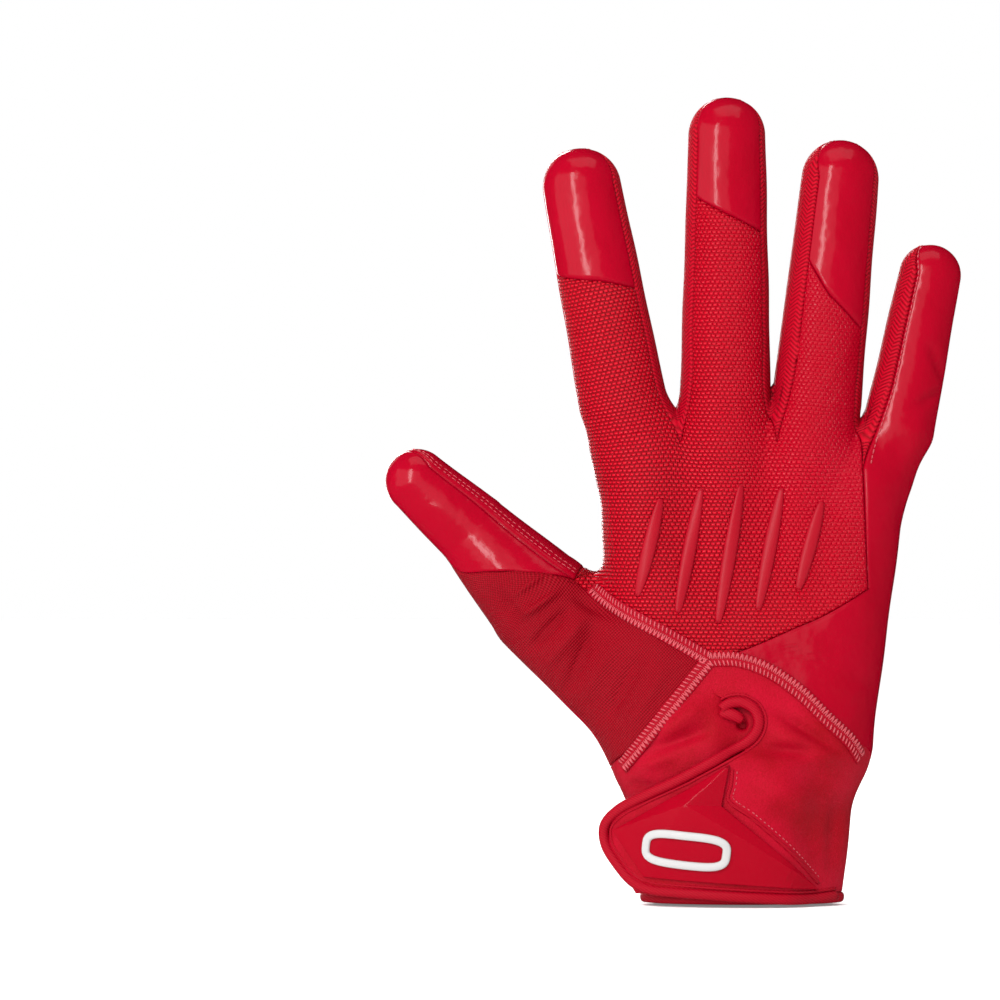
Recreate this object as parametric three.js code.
import * as THREE from 'three';

// Right-hand football receiver glove, shown filled as on a hand, fingers up.
// Millimetres. +X runs from the thumb side to the little-finger side, +Y from the back of the hand to the
// palm, +Z towards the fingertips. The origin is the centre of the wrist opening, at the hem.

// Walls and clearances
const palmWall = 1.6;
const backWall = 1.5;
const knitWall = 1.3;
const sideWall = 1;
const cuffWall = 2;
const panelGap = 0.3;
const overlayGap = 0.4;
const bandThickness = 0.8;
const bandWidth = 4.4;

// Wrist opening and heel of the hand
const wristWidth = 59.4;
const wristDepth = 44;
const heelWidth = 70;
const heelHeight = 38;
const heelX = -1.6;
const heelDepth = 43;
const hemHeight = 3;

// Fingers: where each gets free of the hand, which way it leans, how far its tip is past that, its widths
// there and at the tip, and how far its tip curls towards the palm
const fingerDepthShare = 0.86;
const digits = {
  index: { rootX: -36.6, rootZ: 150, lean: -10.8, length: 77.5, rootWidth: 26.6, tipWidth: 23.6, curl: 3 },
  middle: { rootX: -5.9, rootZ: 152, lean: 0.4, length: 89.5, rootWidth: 27.4, tipWidth: 23.2, curl: 2.5 },
  ring: { rootX: 21.4, rootZ: 150, lean: 6.2, length: 79, rootWidth: 27, tipWidth: 23.2, curl: 3 },
  little: { rootX: 46, rootZ: 142, lean: 11.8, length: 56.4, rootWidth: 21.8, tipWidth: 18.6, curl: 4 },
};

// Bones of the palm, each from the heel to the head that carries its finger
const palmDepth = 28;
const boneHeelZ = 50;
const bones = {
  index: { heelX: -22, headX: -30.5, headZ: 133, headWidth: 27 },
  middle: { heelX: -5, headX: -6.5, headZ: 135, headWidth: 28 },
  ring: { heelX: 7, headX: 18, headZ: 133, headWidth: 28 },
  little: { heelX: 21.5, headX: 35.4, headZ: 125, headWidth: 26 },
};

// Thumb joints
const thumbDepthShare = 0.92;
const thumbJoints = [
  { x: -22, y: 7, z: 52, width: 35 },
  { x: -60.5, y: 10, z: 89, width: 33.4 },
  { x: -81.6, y: 11, z: 111.3, width: 23.4 },
  { x: -98.4, y: 10, z: 126.2, width: 19.4 },
];
const webBlend = 10;
const palmBlend = 9;
const knuckleBlend = 7;

const halfPanelGap = panelGap * 0.6;
const cornerTrim = 0.5;
const quarterTurn = Math.PI / 2;
const mix = THREE.MathUtils.lerp;
const smooth = (value) => THREE.MathUtils.smoothstep(value, 0, 1);
const at = (x, y, z) => new THREE.Vector3(x, y, z);

// The form of the hand: limbs blended into one another, the fingers kept apart from each other

function limb(from, to, fromWidth, toWidth, fromShare, toShare) {
  return { from, to, fromRadius: fromWidth / 2, toRadius: toWidth / 2, fromShare, toShare };
}

function limbDistance(part, p) {
  const ax = part.to.x - part.from.x;
  const az = part.to.z - part.from.z;
  const along = ((p.x - part.from.x) * ax + (p.z - part.from.z) * az) / (ax * ax + az * az);
  const h = THREE.MathUtils.clamp(along, 0, 1);
  const dx = p.x - mix(part.from.x, part.to.x, h);
  const dz = p.z - mix(part.from.z, part.to.z, h);
  const dy = (p.y - mix(part.from.y, part.to.y, h)) / mix(part.fromShare, part.toShare, h);
  return Math.hypot(dx, dy, dz) - mix(part.fromRadius, part.toRadius, h);
}

function blended(a, b, width) {
  const h = Math.max(width - Math.abs(a - b), 0) / width;
  return Math.min(a, b) - (h * h * width) / 4;
}

const fingers = Object.fromEntries(Object.entries(digits).map(([name, digit]) => {
  const lean = THREE.MathUtils.degToRad(digit.lean);
  const axis = at(Math.sin(lean), 0, Math.cos(lean));
  const root = at(digit.rootX, 0, digit.rootZ);
  const straight = digit.length - digit.tipWidth / 2;
  const tip = root.clone().addScaledVector(axis, straight).setY(digit.curl);
  return [name, { root, tip, axis, across: at(axis.z, 0, -axis.x), straight, digit }];
}));

const wristReach = 30;
const wristLimb = limb(
  at(0, 1, -wristReach),
  at(heelX, 2, heelHeight),
  wristWidth - (heelWidth - wristWidth) * (wristReach / heelHeight),
  heelWidth,
  wristDepth / wristWidth,
  heelDepth / heelWidth,
);
const boneLimbs = Object.values(bones).map((bone) => limb(
  at(bone.heelX, 2, boneHeelZ),
  at(bone.headX, 1, bone.headZ),
  bone.headWidth * 1.3,
  bone.headWidth,
  palmDepth / bone.headWidth,
  palmDepth / bone.headWidth,
));
const thumbPoints = thumbJoints.map(({ x, y, z }) => at(x, y, z));
const thumbLimbs = [0, 1, 2].map((i) => limb(
  thumbPoints[i],
  thumbPoints[i + 1],
  thumbJoints[i].width,
  thumbJoints[i + 1].width,
  thumbDepthShare,
  thumbDepthShare,
));
const fingerLimbs = Object.entries(fingers).map(([name, finger]) => limb(
  at(bones[name].headX, 1, bones[name].headZ),
  finger.root,
  finger.digit.rootWidth,
  finger.digit.rootWidth,
  fingerDepthShare,
  fingerDepthShare,
)).map((knuckle, i) => {
  const finger = Object.values(fingers)[i];
  const { rootWidth, tipWidth } = finger.digit;
  return [knuckle, limb(finger.root, finger.tip, rootWidth, tipWidth, fingerDepthShare, fingerDepthShare)];
});

function handForm(p) {
  let palm = limbDistance(wristLimb, p);
  for (const part of boneLimbs) palm = blended(palm, limbDistance(part, p), palmBlend);
  const thumbForm = Math.min(...thumbLimbs.map((part) => limbDistance(part, p)));
  const withThumb = blended(palm, thumbForm, webBlend);
  return fingerLimbs.reduce((form, parts) => {
    const finger = Math.min(...parts.map((part) => limbDistance(part, p)));
    return Math.min(form, blended(palm, finger, knuckleBlend));
  }, withThumb);
}

const castSteps = 60;
const castStride = 0.7;
const slopeStep = 0.2;

// Where a ray from inside the hand leaves it, and the outward direction there
function cast({ from, direction }) {
  const p = from.clone();
  const step = direction.clone().normalize();
  for (let i = 0; i < castSteps; i += 1) p.addScaledVector(step, -handForm(p) * castStride);
  const n = at(0, 0, 0);
  for (const key of ['x', 'y', 'z']) {
    const ahead = p.clone();
    const behind = p.clone();
    ahead[key] += slopeStep;
    behind[key] -= slopeStep;
    n[key] = handForm(ahead) - handForm(behind);
  }
  return { p, n: n.normalize() };
}

// Rays, and rows of rays spread between key rays

const ray = (from, direction) => ({ from, direction: direction.clone().normalize() });
const onBack = (x, z, depth = 2) => ray(at(x, depth, z), at(0, -1, 0));
const onPalm = (x, z, depth = 2) => ray(at(x, depth, z), at(0, 1, 0));
const between = (a, b, share) => ray(
  a.from.clone().lerp(b.from, share),
  a.direction.clone().lerp(b.direction, share),
);

function spread(keys, counts) {
  const row = [keys[0]];
  counts.forEach((count, i) => {
    for (let c = 1; c <= count; c += 1) row.push(between(keys[i], keys[i + 1], c / count));
  });
  return row;
}

// A point a share of the way along a smooth line over the hand, given as pairs of x and z
function along(line, share) {
  const curve = new THREE.CatmullRomCurve3(line.map(([x, z]) => at(x, 0, z)), false, 'centripetal');
  const point = curve.getPointAt(THREE.MathUtils.clamp(share, 0, 1));
  return [point.x, point.z];
}

function turned(centre, side, degrees) {
  const angle = THREE.MathUtils.degToRad(degrees);
  return ray(centre, at(0, -Math.cos(angle), 0).addScaledVector(side, Math.sin(angle)));
}

// Sheets: grids of surface points that share their edges, made solid along the outward directions

const samePoint = 0.05;

function sheetOf(...grids) {
  const sheet = { points: [], normals: [], triangles: [] };
  const keep = ({ p, n }) => {
    const known = sheet.points.findIndex((point) => point.distanceToSquared(p) < samePoint * samePoint);
    if (known >= 0) return known;
    sheet.points.push(p);
    sheet.normals.push(n);
    return sheet.points.length - 1;
  };
  for (const grid of grids) {
    const ids = grid.map((row) => row.map(cast).map(keep));
    const triangles = [];
    for (let r = 0; r + 1 < ids.length; r += 1) {
      for (let c = 0; c + 1 < ids[r].length; c += 1) {
        const [a, b, d, e] = [ids[r][c], ids[r][c + 1], ids[r + 1][c + 1], ids[r + 1][c]];
        triangles.push([a, b, d], [a, d, e]);
      }
    }
    sheet.triangles.push(...facingOut(sheet, triangles.filter((triangle) => new Set(triangle).size === 3)));
  }
  return sheet;
}

// Turns a whole grid over if most of its triangles look inwards
function facingOut(sheet, triangles) {
  const votes = triangles.reduce((sum, [a, b, c]) => {
    const ab = sheet.points[b].clone().sub(sheet.points[a]);
    const ac = sheet.points[c].clone().sub(sheet.points[a]);
    return sum + ab.cross(ac).dot(sheet.normals[a]);
  }, 0);
  return votes < 0 ? triangles.map(([a, b, c]) => [a, c, b]) : triangles;
}

function rimOf(sheet) {
  const edges = new Set();
  for (const [a, b, c] of sheet.triangles) {
    for (const [from, to] of [[a, b], [b, c], [c, a]]) edges.add(`${from}_${to}`);
  }
  return [...edges].map((key) => key.split('_').map(Number)).filter(([from, to]) => !edges.has(`${to}_${from}`));
}

// Draws the rim of a sheet in, so that it clears the sheet it is sewn to
function trimmed(sheet, amount) {
  const shifts = sheet.points.map(() => at(0, 0, 0));
  const counts = sheet.points.map(() => 0);
  for (const [from, to] of rimOf(sheet)) {
    const edge = sheet.points[to].clone().sub(sheet.points[from]).normalize();
    for (const id of [from, to]) {
      shifts[id].add(sheet.normals[id].clone().cross(edge).normalize());
      counts[id] += 1;
    }
  }
  const points = sheet.points.map((point, id) => {
    if (!counts[id]) return point;
    const mean = shifts[id].divideScalar(counts[id]);
    const reach = Math.max(mean.length(), 0.5);
    const inwards = typeof amount === 'function' ? amount(point) : amount;
    return point.clone().addScaledVector(mean.normalize(), inwards / reach);
  });
  return { ...sheet, points };
}

function solidOf(sheet, low, high, trim = halfPanelGap) {
  const cut = trimmed(sheet, trim);
  const height = (value, point, id) => (typeof value === 'function' ? value(point, id) : value);
  const positions = [high, low].flatMap((level) => cut.points.flatMap((point, id) => (
    point.clone().addScaledVector(cut.normals[id], height(level, point, id)).toArray()
  )));
  const count = cut.points.length;
  const indices = cut.triangles.flatMap(([a, b, c]) => [a, b, c, count + a, count + c, count + b]);
  const rank = (id) => sheet.points[id].dot(at(0.31, 0.17, 1));
  for (const [a, b] of rimOf(cut)) {
    if (rank(a) > rank(b)) indices.push(b, a, count + a, b, count + a, count + b);
    else indices.push(b, a, count + b, a, count + a, count + b);
  }
  const geometry = new THREE.BufferGeometry();
  geometry.setAttribute('position', new THREE.Float32BufferAttribute(positions, 3));
  geometry.setIndex(indices);
  return geometry;
}

// Fingers: seams given as angles from the middle of the back, in degrees, and the share of the straight
// length at which the smooth tip piece starts on the left and on the right
const fingerSteps = 8;
const tipStep = 5;
const capSteps = 3;
const slitRise = 13;
const seams = {
  index: { backLeft: -84, backRight: 58, palmRight: 118, palmLeft: 276, tipLeft: 0.62, tipRight: 0.5 },
  middle: { backLeft: -56, backRight: 62, palmRight: 122, palmLeft: 236, tipLeft: 0.76, tipRight: 0.63 },
  ring: { backLeft: -40, backRight: 64, palmRight: 124, palmLeft: 236, tipLeft: 0.62, tipRight: 0.34 },
  little: { backLeft: -32, backRight: 90, palmRight: 90, palmLeft: 236, tipLeft: 0.5, tipRight: 0.5 },
};
const slits = {
  indexMiddle: { x: -19.5, backZ: 138, palmZ: 143 },
  middleRing: { x: 9, backZ: 138, palmZ: 143 },
  ringLittle: { x: 34.8, backZ: 130, palmZ: 135 },
};
const slitOf = {
  index: { left: null, right: slits.indexMiddle },
  middle: { left: slits.indexMiddle, right: slits.middleRing },
  ring: { left: slits.middleRing, right: slits.ringLittle },
  little: { left: slits.ringLittle, right: null },
};

function slitRay(slit, face) {
  if (face === 'side') return ray(at(slit.x, 1, (slit.backZ + slit.palmZ) / 2 - 6), at(0, 0, 1));
  return face === 'back' ? onBack(slit.x, slit.backZ, 1) : onPalm(slit.x, slit.palmZ, 1);
}

const slitClear = 1.5;
const slitFloors = new Map();
function slitFloor(slit) {
  if (!slitFloors.has(slit)) slitFloors.set(slit, cast(slitRay(slit, 'side')).p.z);
  return slitFloors.get(slit);
}

// An edge ray of a finger. Steps 0 to fingerSteps run up the straight part, later ones over the tip
function edgeRay(name, side, face, step) {
  const finger = fingers[name];
  const seam = seams[name];
  const sideName = side < 0 ? 'left' : 'right';
  const facing = { back: side < 0 ? seam.backLeft : seam.backRight, side: 90 * side };
  facing.palm = side < 0 ? seam.palmLeft : seam.palmRight;
  const outward = 90 * side;
  const degrees = face === 'palm' && side < 0 ? facing.palm - 360 : facing[face];
  if (step > fingerSteps) {
    const over = (step - fingerSteps) / capSteps;
    const round = turned(at(0, 0, 0), finger.across, mix(degrees, outward, smooth(over)));
    const direction = round.direction.multiplyScalar(Math.cos(over * quarterTurn));
    return ray(finger.tip.clone(), direction.addScaledVector(finger.axis, Math.sin(over * quarterTurn)));
  }
  const tipShare = side < 0 ? seam.tipLeft : seam.tipRight;
  const early = tipShare * Math.pow(step / tipStep, 1.4);
  const share = step <= tipStep ? early : mix(tipShare, 1, (step - tipStep) / (fingerSteps - tipStep));
  const free = turned(finger.root.clone().lerp(finger.tip, share), finger.across, degrees);
  const slit = slitOf[name][sideName];
  if (!slit) return free;
  if (face === 'side' && step > 0) {
    const floor = Math.max(slitFloor(slit) + slitClear - finger.root.z, 0) / finger.axis.z;
    const height = mix(floor, finger.straight, share) / finger.straight;
    return turned(finger.root.clone().lerp(finger.tip, height), finger.across, degrees);
  }
  const low = slitRay(slit, face);
  low.from.addScaledVector(finger.axis, share * finger.straight);
  return between(low, free, smooth((share * finger.straight) / slitRise));
}

const backColumns = 4;
const sideColumns = 3;
const middleOf = (left, right, facing) => ray(left.from.clone().lerp(right.from, 0.5), facing);
const towardBack = at(0, -1, 0);
const towardPalm = at(0, 1, 0);

function backRow(name, step) {
  const left = edgeRay(name, -1, 'back', step);
  const right = edgeRay(name, 1, 'back', step);
  return faceRow(name, left, right, towardBack, step);
}

function palmRow(name, step) {
  const left = edgeRay(name, -1, 'palm', step);
  const right = edgeRay(name, 1, 'palm', step);
  return faceRow(name, left, right, towardPalm, step);
}

function faceRow(name, left, right, facing, step) {
  const over = Math.max(step - fingerSteps, 0) / capSteps;
  const direction = facing.clone().multiplyScalar(Math.cos(over * quarterTurn));
  direction.addScaledVector(fingers[name].axis, Math.sin(over * quarterTurn));
  const middle = middleOf(left, right, direction);
  return spread([left, middle, right], [backColumns / 2, backColumns / 2]);
}

const steps = (first, last) => Array.from({ length: last - first + 1 }, (_, i) => first + i);
const tipEnd = fingerSteps + capSteps;

// The little finger is wrapped by the palm piece from the slit on its back round to the slit on its palm
function wrapRow(step) {
  const keys = [
    edgeRay('little', -1, 'back', step),
    edgeRay('little', 1, 'side', step),
    edgeRay('little', -1, 'palm', step),
  ];
  return spread(keys, [backColumns, backColumns]);
}

// Lines over the hand, as pairs of x and z: seams, panel borders and the edge of the flap
const junction = [-11, 73];
const webCorner = [-50.5, 97.5];
const radialFoot = [-37.5, 40];
const ulnarFoot = [35, 42];
const panelFoot = hemHeight + panelGap;
const lines = {
  radialEdge: [[-30, 150], [-31, 123]],
  thumbSeam: [webCorner, [-37.5, 88], [-25, 81], junction],
  panelFootRight: [[36.6, 94], [24, 86.5], [10, 80.5], [1, 76.5], junction],
  cuffLeft: [junction, [-24, 57], radialFoot],
  cuffRight: [junction, [-3, 73], [6, 70], [15.6, 63.5], [24.3, 55], [31, 48.5], ulnarFoot],
  palmArc: [[-33, 122], [-22, 112], [-12, 95], [-7.5, 78], [-11.5, 62], [-22, 48], radialFoot],
  gussetInner: [[-33, 122], [-38, 104], [-47, 88.5]],
  palmCuffRadial: [radialFoot, [-31.5, 30], [-24.5, 18], [-19, panelFoot]],
  palmCuffUlnar: [ulnarFoot, [31.5, 30], [27, 17], [21, panelFoot]],
  borderIndexMiddle: [[slits.indexMiddle.x, slits.indexMiddle.palmZ], [0, 100], [2, 60], [-7, panelFoot]],
  borderMiddleRing: [[slits.middleRing.x, slits.middleRing.palmZ], [15, 100], [13, 60], [3, panelFoot]],
  borderRingLittle: [[slits.ringLittle.x, slits.ringLittle.palmZ], [29, 100], [24, 60], [13, panelFoot]],
};

// Rows of the back of the hand below the slits, and rows of the palm below them: as far as the gusset,
// across to the arc, down the arc, and down the cuff seam
const backRows = 7;
const gussetTopRow = 3;
const gussetAcross = 3;
const arcRows = 12;
const cuffSeamRows = 4;
const arcStart = gussetTopRow + gussetAcross;
const arcFoot = arcStart + arcRows;
const palmRows = arcFoot + cuffSeamRows;
const wrapCorner = backRows + 6;

const radialDepth = 3;
function radialRay(row) {
  const top = edgeRay('index', -1, 'back', 0);
  const low = ray(at(-31, radialDepth, 123), at(-1, -0.1, 0));
  return between(top, low, Math.min(row / gussetTopRow, 1));
}

const webRay = ray(at(-49, 8, 90), at(0.08, 0, 1));
const webSideRay = ray(at(-36, 6, 98), at(-1, -0.3, 0.8));
const cornerRay = ray(at(-52, 9, 92), at(0.1, -0.85, 0.45));

function backLeftRay(row) {
  if (row <= gussetTopRow) return radialRay(row);
  const share = (row - gussetTopRow) / (backRows - gussetTopRow);
  return share < 0.5
    ? between(radialRay(gussetTopRow), webSideRay, share * 2)
    : between(webSideRay, cornerRay, share * 2 - 1);
}

function backFootRays() {
  const left = steps(0, 6).map((i) => onBack(...along(lines.thumbSeam, i / 6)));
  left[0] = cornerRay;
  const right = steps(0, 5).map((i) => onBack(...along(lines.panelFootRight, i / 6))).reverse();
  return [...left, ...right];
}

const slitColumns = [slits.indexMiddle, slits.middleRing, slits.ringLittle];
const footRays = backFootRays();

function backBodyRow(row) {
  const share = row / backRows;
  if (row === backRows) return footRays;
  const top = [...backRow('index', 0), ...backRow('middle', 0).slice(1), ...backRow('ring', 0).slice(1)];
  if (row === 0) return top;
  const straight = top.map((topRay, i) => between(topRay, footRays[i], share));
  return straight.map((one, i) => {
    if (i < backColumns) return between(backLeftRay(row), straight[backColumns], i / backColumns);
    return i === top.length - 1 ? wrapEdge(row) : one;
  });
}

function wrapEdge(row) {
  if (row <= backRows) {
    const [x, z] = [mix(slits.ringLittle.x, 36.6, row / backRows), mix(slits.ringLittle.backZ, 94, row / backRows)];
    return row === 0 ? slitRay(slits.ringLittle, 'back') : onBack(x, z, 1 + Math.min(row, 1));
  }
  if (row <= wrapCorner) return footRays[footRays.length - 1 - (row - backRows)];
  const arcRow = arcFoot - wrapCorner;
  if (row < arcFoot) return onBack(...along(lines.cuffRight, (row - wrapCorner) / arcRow));
  return ulnarSeamRay(row - arcFoot);
}

const ulnarFootRay = ray(at(24, 2, ulnarFoot[1]), at(1, 0, 0));
function ulnarSeamRay(row) {
  if (row === 0) return ulnarFootRay;
  const [x, z] = along(lines.palmCuffUlnar, row / cuffSeamRows);
  return onPalm(x * 0.96, z);
}

const radialFootRay = ray(at(-24, 2, radialFoot[1]), at(-1, 0, 0));
function radialSeamRay(row) {
  if (row === 0) return radialFootRay;
  const [x, z] = along(lines.palmCuffRadial, row / cuffSeamRows);
  return onPalm(x * 0.96, z);
}

function ulnarSideRay(row) {
  const share = Math.min(row / arcFoot, 1);
  const top = edgeRay('little', 1, 'side', 0);
  return between(top, ulnarFootRay, share);
}

const gussetPeak = onPalm(-33, 122);
function palmLeftRay(row) {
  if (row <= gussetTopRow) return radialRay(row);
  if (row <= arcStart) return between(radialRay(gussetTopRow), gussetPeak, (row - gussetTopRow) / gussetAcross);
  if (row < arcFoot) return onPalm(...along(lines.palmArc, (row - arcStart) / arcRows));
  return radialSeamRay(row - arcFoot);
}

function borderRay(line, row, weight) {
  const slit = line[0];
  const leftZ = palmLeftRay(row).from.z;
  const rightZ = ulnarSideRay(row).from.z;
  const footZ = row <= arcFoot ? rightZ : mix(ulnarFoot[1], panelFoot, (row - arcFoot) / cuffSeamRows);
  const start = mix(palmLeftRay(0).from.z, ulnarSideRay(0).from.z, weight);
  const share = (start - mix(leftZ, footZ, weight)) / (start - panelFoot);
  if (row === 0) return onPalm(slit[0], slit[1], 1);
  const [x, z] = along(line, share);
  return onPalm(x, row === palmRows ? panelFoot : z);
}

function palmBodyRow(row) {
  const edge = wrapEdge(row);
  const side = row >= arcFoot ? edge : ulnarSideRay(row);
  const ringLittle = borderRay(lines.borderRingLittle, row, 0.75);
  const keys = [
    palmLeftRay(row),
    borderRay(lines.borderIndexMiddle, row, 0.35),
    borderRay(lines.borderMiddleRing, row, 0.55),
    ringLittle,
    side,
    edge,
  ];
  if (row === 0) {
    return [
      ...palmRow('index', 0),
      ...palmRow('middle', 0).slice(1),
      ...palmRow('ring', 0).slice(1),
      ...wrapRow(0).reverse().slice(1),
    ];
  }
  return spread(keys, [backColumns, backColumns, backColumns, backColumns, backColumns]);
}

// Thumb: rows from the base, at the web, to the tip
const thumbSteps = 9;
const thumbCapSteps = 3;
const thumbEnd = thumbSteps + thumbCapSteps;
const thumbCapStep = 5;
const thumbEdges = { upperBack: 55, upper: 90, palm: 180, lower: 270, back: 0 };
const thumbReach = 0.45;
const thumbSpine = new THREE.CatmullRomCurve3(thumbPoints.slice(1));
const thumbLow = {
  upperBack: cornerRay,
  upper: webRay,
  palm: onPalm(-47, 88.5, 8),
  lower: ray(at(-56, 9, 84), at(-0.72, 0, -0.69)),
  back: onBack(-60, 86, 9),
};

function thumbRay(edge, step) {
  const over = Math.max(step - thumbSteps, 0) / thumbCapSteps;
  const share = Math.min(step / thumbSteps, 1);
  const centre = thumbSpine.getPointAt(share);
  const axis = thumbSpine.getTangentAt(share).setY(0).normalize();
  const upper = at(axis.z, 0, -axis.x);
  const degrees = thumbEdges[edge];
  const closed = degrees > 180 ? 270 : mix(degrees, 90, smooth(over));
  const around = edge === 'palm' || edge === 'back' ? degrees : closed;
  const round = turned(centre, upper, around);
  round.direction.multiplyScalar(Math.cos(over * quarterTurn)).addScaledVector(axis, Math.sin(over * quarterTurn));
  return between(thumbLow[edge], round, smooth(share / thumbReach));
}

const thumbRow = (step) => spread(
  ['upperBack', 'upper', 'palm', 'lower'].map((edge) => thumbRay(edge, step)),
  [1, 2, 3],
);
const thumbTipRow = (step) => spread(
  [thumbRay('lower', Math.max(step, thumbCapStep)), thumbRay('back', mix(Math.max(step, thumbCapStep), step, 0.4)),
    thumbRay('upperBack', step)],
  [3, 3],
);

// The ball of the thumb, between the arc in the palm and the thumb side
const gussetSide = 4;
const thumbBaseSide = 3;
const ballSide = arcRows - gussetSide - thumbBaseSide;
function thumbSideRay(row) {
  if (row <= gussetSide) {
    const share = row / gussetSide;
    if (share === 0) return gussetPeak;
    return share === 1 ? thumbLow.palm : onPalm(...along(lines.gussetInner, share), mix(2, 8, share));
  }
  if (row <= gussetSide + thumbBaseSide) {
    return between(thumbLow.palm, thumbLow.lower, (row - gussetSide) / thumbBaseSide);
  }
  return between(thumbLow.lower, radialFootRay, (row - gussetSide - thumbBaseSide) / ballSide);
}

function ballRow(row) {
  const arc = palmLeftRay(arcStart + row);
  const side = thumbSideRay(row);
  const mid = onPalm((arc.from.x + side.from.x) / 2, (arc.from.z + side.from.z) / 2, 5);
  const bulge = row === 0 || row === arcRows ? between(arc, side, 0.5) : mid;
  return row > gussetSide ? spread([arc, bulge, side], [2, 3]) : spread([arc, between(arc, side, 0.5), side], [2, 3]);
}

function gussetRow(row) {
  const share = row / gussetSide;
  if (row === 0) return steps(0, gussetAcross).map((i) => palmLeftRay(gussetTopRow + i));
  if (row === gussetSide) return thumbRow(0).slice(0, gussetAcross + 1);
  const left = backLeftRay(gussetTopRow + row);
  const right = thumbSideRay(row);
  const top = between(palmLeftRay(gussetTopRow + 1), thumbRow(0)[1], share);
  const low = between(palmLeftRay(gussetTopRow + 2), thumbRow(0)[2], share);
  return [left, top, low, right];
}

// The knit behind the thumb, from the smooth thumb cap down to the foot of the cuff seam
const knitRows = 10;
const thumbSeamRows = 6;
function knitRow(row) {
  if (row === 0) return thumbTipRow(0);
  const ball = gussetSide + thumbBaseSide - thumbCapStep;
  const left = row <= thumbCapStep ? thumbRay('lower', thumbCapStep - row) : thumbSideRay(ball + row);
  const footShare = (row - thumbSeamRows) / (knitRows - thumbSeamRows);
  const right = row <= thumbSeamRows ? footRays[row] : onBack(...along(lines.cuffLeft, footShare));
  if (row === knitRows) return spread([radialFootRay, radialFootRay, radialFootRay], [3, 3]);
  const mid = onBack((left.from.x + right.from.x) / 2, (left.from.z + right.from.z) / 2, 5);
  return spread([left, mid, right], [3, 3]);
}

// Cuff: the under part from the radial palm seam to below the flap, and the flap over it
const flapClearance = 1.6;
const flapLift = cuffWall + flapClearance;
const underEdge = [junction, [-9.5, 62], [-8.5, 52], [-6, 44], [2, 30], [8, panelFoot]];
const flapTop = [junction, [-9.5, 62.5], [-3, 62], [5, 56], [3.3, 49.5], [-1.5, 45]];
const flapEnd = [[-1.5, 45], [-15.3, 37.2], [-29.5, 29.8], [-36, 25], [-38, 18], [-36, 10], [-31, panelFoot]];
const cuffLeftRows = 4;
const underRows = cuffLeftRows + cuffSeamRows;
const flapTopRows = 4;
const flapEndRows = 5;

function cuffHeight(p) {
  const overUnder = smooth((22 - p.x) / 12) * smooth((47.5 - p.z) / 5);
  return p.y > 4 && p.x > 0 ? 0 : flapLift * overUnder;
}

function underRow(row) {
  const [x, z] = along(underEdge, row / underRows);
  const right = onBack(x, row === underRows ? panelFoot : z);
  if (row < cuffLeftRows) {
    const left = onBack(...along(lines.cuffLeft, row / cuffLeftRows));
    return spread([left, left, right], [3, 11]);
  }
  const left = radialSeamRay(row - cuffLeftRows);
  const sideZ = mix(radialFoot[1], panelFoot, (row - cuffLeftRows) / cuffSeamRows);
  return spread([left, ray(at(-24, 2, sideZ), at(-1, 0, 0)), right], [3, 11]);
}

// Points on the flap reach round the thumb side of the wrist
const wrapFrom = 24;
const wrapReach = 14;
function flapRay(x, z) {
  const round = smooth((-x - wrapFrom) / wrapReach);
  return ray(at(mix(x, -wrapFrom, round), 2, z), at(-1.6 * round, -1, 0));
}

function flapEndRay(share) {
  const [x, z] = along(flapEnd, share);
  return flapRay(x, share > 0.99 ? panelFoot : z);
}

function flapRow(row) {
  const rightRow = row + wrapCorner;
  const right = wrapEdge(rightRow);
  const [topX, topZ] = along(flapTop, row / flapTopRows);
  const left = row <= flapTopRows ? onBack(topX, topZ) : flapEndRay((row - flapTopRows) / flapEndRows);
  if (row <= arcFoot - wrapCorner) return spread([left, right, right], [15, 3]);
  const sideZ = mix(ulnarFoot[1], panelFoot, (rightRow - arcFoot) / cuffSeamRows);
  return spread([left, ray(at(24, 2, sideZ), at(1, 0, 0)), right], [15, 3]);
}

// Bands over the seams: a strip of the given width along a line of rays
function bandRows(rays, width, closed = false) {
  const last = rays.length - 1;
  return rays.map((one, i) => {
    const ahead = rays[i === last && closed ? 1 : Math.min(i + 1, last)].from;
    const behind = rays[i === 0 && closed ? last - 1 : Math.max(i - 1, 0)].from;
    const across = ahead.clone().sub(behind).cross(one.direction).normalize();
    return [-0.5, 0, 0.5].map((side) => ray(one.from.clone().addScaledVector(across, side * width), one.direction));
  });
}

function overlay(grid, base = () => overlayGap, thickness = bandThickness) {
  return solidOf(sheetOf(grid), base, (point) => base(point) + thickness, 0);
}

const bandSteps = 12;
const backLine = (line, from = 0, to = 1) => (
  steps(0, bandSteps).map((i) => onBack(...along(line, mix(from, to, i / bandSteps))))
);
const palmLine = (line, from = 0, to = 1) => (
  steps(0, bandSteps).map((i) => {
    const [x, z] = along(line, mix(from, to, i / bandSteps));
    return onPalm(x * 0.94, z);
  })
);

// Pull tab: flat facets that meet at a ridge point, as x and z over the wrist and a height over the plate
const plateGap = 1.2;
const plateThickness = 1.2;
const ridgeHeight = 0.9;
const plateCorners = {
  top: [-4.5, 38.2, 0],
  left: [-29, 20.6, 0],
  low: [-26, 8.6, 0],
  right: [20.5, 5, 0],
  notch: [-7.2, 29.7, 0],
  ridge: [-13.5, 27.4, ridgeHeight],
};
const plateFacets = [
  ['top', 'left', 'ridge'],
  ['top', 'ridge', 'notch'],
  ['ridge', 'right', 'notch'],
  ['ridge', 'left', 'low'],
  ['ridge', 'low', 'right'],
];
const facetSteps = 5;

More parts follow.
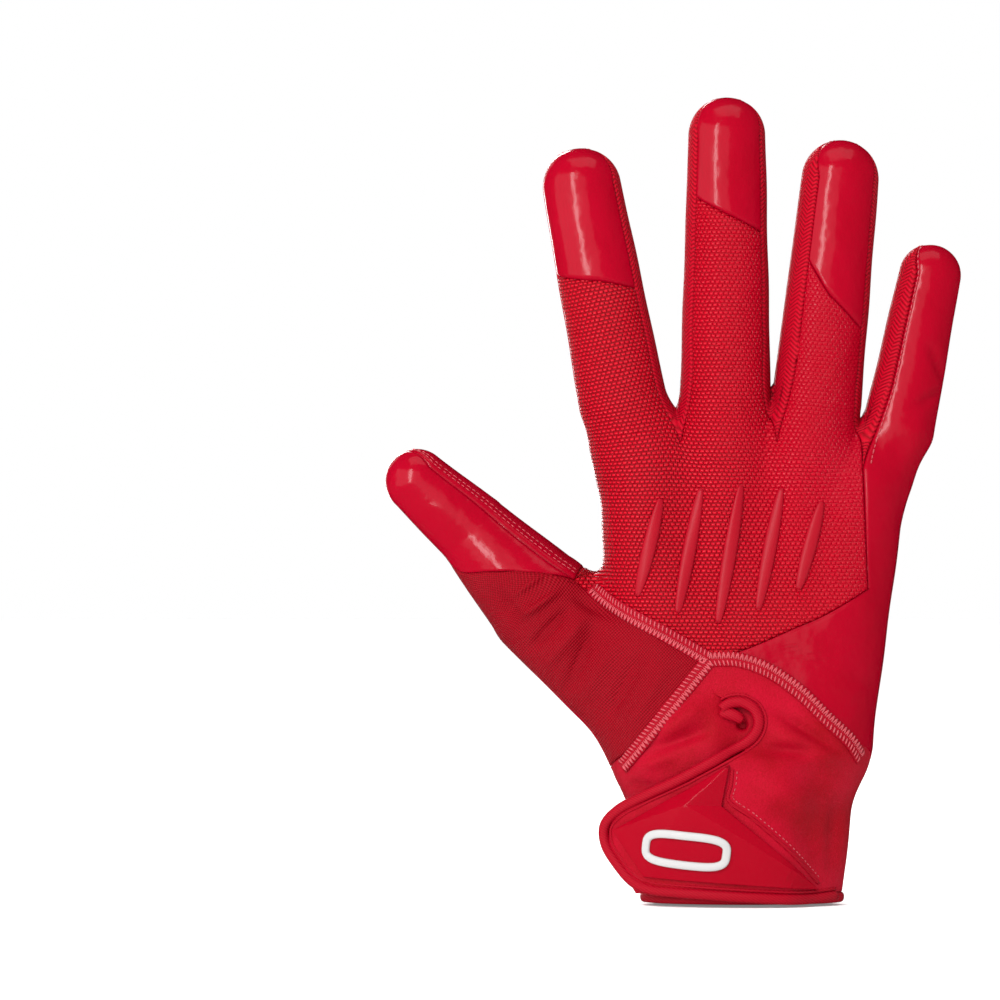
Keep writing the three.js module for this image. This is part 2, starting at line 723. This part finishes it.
function plateSheet() {
  const raised = [];
  const grids = plateFacets.map((names) => {
    const [a, b, c] = names.map((name) => plateCorners[name]);
    return steps(0, facetSteps).map((row) => steps(0, facetSteps).map((column) => {
      const down = row / facetSteps;
      const side = Math.min(column, row) / facetSteps;
      const [x, z, raise] = [0, 1, 2].map((k) => a[k] * (1 - down) + b[k] * (down - side) + c[k] * side);
      const one = flapRay(x, z);
      raised.push({ p: cast(one).p, raise });
      return one;
    }));
  });
  const sheet = sheetOf(...grids);
  sheet.raises = sheet.points.map((point) => (
    raised.find(({ p }) => p.distanceToSquared(point) < samePoint * samePoint).raise
  ));
  return sheet;
}

// Plain frame on the pull tab
const frameWidth = 24;
const frameHeight = 11;
const frameRound = 3.6;
const frameBar = 2.4;
const frameTilt = THREE.MathUtils.degToRad(-7);
const frameCentre = { x: -15.5, z: 16.8 };

function frameRays() {
  const perimeterSteps = 36;
  return steps(0, perimeterSteps).map((i) => {
    const angle = (i % perimeterSteps) / perimeterSteps * 4 * quarterTurn;
    const [c, d] = [Math.cos(angle), Math.sin(angle)];
    const reach = Math.pow(Math.pow(Math.abs(c), frameRound) + Math.pow(Math.abs(d), frameRound), -1 / frameRound);
    const [u, v] = [c * reach * (frameWidth - frameBar) / 2, d * reach * (frameHeight - frameBar) / 2];
    const x = frameCentre.x + u * Math.cos(frameTilt) - v * Math.sin(frameTilt);
    const z = frameCentre.z + u * Math.sin(frameTilt) + v * Math.cos(frameTilt);
    return flapRay(x, z);
  });
}

// Flex bars on the back of the hand
const barWidth = 4;
const barLean = 7;
const bars = [
  { x: -29, low: 92, high: 121 },
  { x: -17, low: 87, high: 124 },
  { x: -5, low: 84, high: 125 },
  { x: 7, low: 88, high: 124 },
  { x: 19, low: 94, high: 120 },
];
const barSteps = 8;
function barRows({ x, low, high }) {
  const rays = steps(0, barSteps).map((i) => {
    const share = i / barSteps;
    return onBack(x + barLean * (share - 0.5), mix(low, high, share));
  });
  return bandRows(rays, barWidth).map((row, i) => {
    const taper = 0.35 + 0.65 * Math.sqrt(Math.sin((Math.PI * (i + 0.35)) / (barSteps + 0.7)));
    return row.map((one) => ray(row[1].from.clone().lerp(one.from, taper), one.direction));
  });
}

const group = new THREE.Group();
group.name = 'receiver_glove';

const finishes = {
  gloss: { color: 0xc01a34, roughness: 0.4 },
  textured: { color: 0xb91726, roughness: 0.6 },
  knit: { color: 0xa8101f, roughness: 0.85 },
  cuff: { color: 0xc41230, roughness: 0.8 },
  binding: { color: 0xd02a44, roughness: 0.7 },
  plate: { color: 0xc8102e, roughness: 0.45 },
  white: { color: 0xf0eeea, roughness: 0.5 },
};

function addPiece(name, geometry, finish) {
  const mesh = new THREE.Mesh(geometry, new THREE.MeshStandardMaterial(finishes[finish]));
  mesh.name = name;
  group.add(mesh);
}

// Panels of the hand
const backStrips = ['index', 'middle', 'ring'].map((name) => steps(0, tipStep).map((step) => backRow(name, step)));
const backBody = steps(0, backRows).map(backBodyRow);
addPiece('back_panel', solidOf(sheetOf(...backStrips, backBody), -backWall, 0), 'textured');

const palmStrips = ['index', 'middle', 'ring'].map((name) => steps(0, tipEnd).map((step) => palmRow(name, step)));
const littleStrip = steps(0, tipEnd).map(wrapRow);
const palmBody = steps(0, palmRows).map(palmBodyRow);
addPiece('palm_panel', solidOf(sheetOf(...palmStrips, littleStrip, palmBody), -palmWall, 0), 'gloss');

for (const name of ['index', 'middle', 'ring']) {
  const grid = steps(tipStep, tipEnd).map((step) => backRow(name, step));
  addPiece(`tip_${name}`, solidOf(sheetOf(grid), -palmWall, 0), 'gloss');
}

// The strips between the fingers narrow to nothing over the fingertips, and so does the clearance beside them
const poles = Object.values(fingers).map(({ tip, axis, digit }) => tip.clone().addScaledVector(axis, digit.tipWidth / 2));
const narrowing = 16;
const sideClearance = 0.9;
function sideTrim(point) {
  const away = Math.min(...poles.map((pole) => pole.distanceTo(point)));
  return mix(halfPanelGap, sideClearance, Math.pow(Math.min(away / narrowing, 1), 2));
}

for (const [left, right] of [['index', 'middle'], ['middle', 'ring'], ['ring', 'little']]) {
  const row = (name, side) => (step) => spread(
    ['back', 'side', 'palm'].map((face) => edgeRay(name, side, face, step)),
    [sideColumns - 1, sideColumns - 1],
  );
  const grid = [...steps(0, tipEnd).reverse().map(row(left, 1)), ...steps(1, tipEnd).map(row(right, -1))];
  addPiece(`fourchette_${left}_${right}`, solidOf(sheetOf(grid), -sideWall, 0, sideTrim), 'knit');
}

// Thumb
const thumbTube = steps(0, thumbEnd).map(thumbRow);
const ball = steps(0, arcRows).map(ballRow);
addPiece('thumb_panel', solidOf(sheetOf(thumbTube, ball), -palmWall, 0, cornerTrim), 'gloss');
addPiece('thumb_tip', solidOf(sheetOf(steps(0, thumbEnd).map(thumbTipRow)), -palmWall, 0, 2 * cornerTrim), 'gloss');
addPiece('thumb_back', solidOf(sheetOf(steps(0, knitRows).map(knitRow)), -knitWall, 0, cornerTrim), 'knit');
addPiece('thumb_gusset', solidOf(sheetOf(steps(0, gussetSide).map(gussetRow)), -knitWall, 0, cornerTrim), 'textured');

// Cuff
addPiece('cuff_under', solidOf(sheetOf(steps(0, underRows).map(underRow)), -cuffWall, 0, cornerTrim), 'cuff');
const flapGrid = steps(0, flapTopRows + flapEndRows).map(flapRow);
const flapBottom = (p) => cuffHeight(p) - cuffWall;
addPiece('cuff_flap', solidOf(sheetOf(flapGrid), flapBottom, cuffHeight, cornerTrim), 'cuff');
const plate = plateSheet();
const overFlap = (point) => cuffHeight(point) + plateGap;
const plateTop = (point, id) => overFlap(point) + plateThickness + plate.raises[id];
addPiece('tab_plate', solidOf(plate, overFlap, plateTop, 0), 'plate');
const overPlate = (point) => overFlap(point) + plateThickness + ridgeHeight;
addPiece('emblem', overlay(bandRows(frameRays(), frameBar, true), overPlate, bandThickness), 'white');

// Bindings
const hemSteps = 40;
const hemRay = (z) => (i) => turned(at(0, 2, z), at(1, 0, 0), (i % hemSteps) * (360 / hemSteps));
const hemGrid = [0, hemHeight].map((z) => steps(0, hemSteps).map(hemRay(z)));
addPiece('hem_binding', solidOf(sheetOf(hemGrid), -cuffWall, overlayGap, 0), 'binding');
const bindingWidth = 3;
const flapBindingHeight = (point) => cuffHeight(point) + overlayGap;
const flapEdgeRays = steps(0, 16).map((i) => flapEndRay(mix(0.08, 0.97, i / 16)));
addPiece('flap_binding', overlay(bandRows(flapEdgeRays, bindingWidth), flapBindingHeight), 'binding');
const keyhole = [[-1, 49], [4.5, 51.5], [4.6, 57], [-3, 62.5], [-9, 61], [-8.5, 53], [-5, 49.5], [-1, 49]];
const keyholeRays = steps(0, 20).map((i) => onBack(...along(keyhole, (i % 20) / 20)));
addPiece('keyhole_binding', overlay(bandRows(keyholeRays, bindingWidth, true), overFlap), 'binding');

// Flat seams
addPiece('seam_thumb', overlay(bandRows(backLine(lines.thumbSeam, 0.4, 0.93), bandWidth), () => 2 * overlayGap), 'binding');
addPiece('seam_cuff_left', overlay(bandRows(backLine(lines.cuffLeft, 0.1, 0.97), bandWidth)), 'binding');
addPiece('seam_cuff_right', overlay(bandRows(backLine(lines.cuffRight, 0.03, 0.97), bandWidth)), 'binding');
addPiece('seam_palm_radial', overlay(bandRows(palmLine(lines.palmCuffRadial, 0.3, 0.95), bandWidth), () => 2 * overlayGap), 'binding');
addPiece('seam_palm_ulnar', overlay(bandRows(palmLine(lines.palmCuffUlnar, 0.3, 0.95), bandWidth), () => 2 * overlayGap), 'binding');

// Flex bars
bars.forEach((bar, i) => addPiece(`flex_bar_${i + 1}`, overlay(barRows(bar), () => 2 * overlayGap), 'gloss'));

export default group;
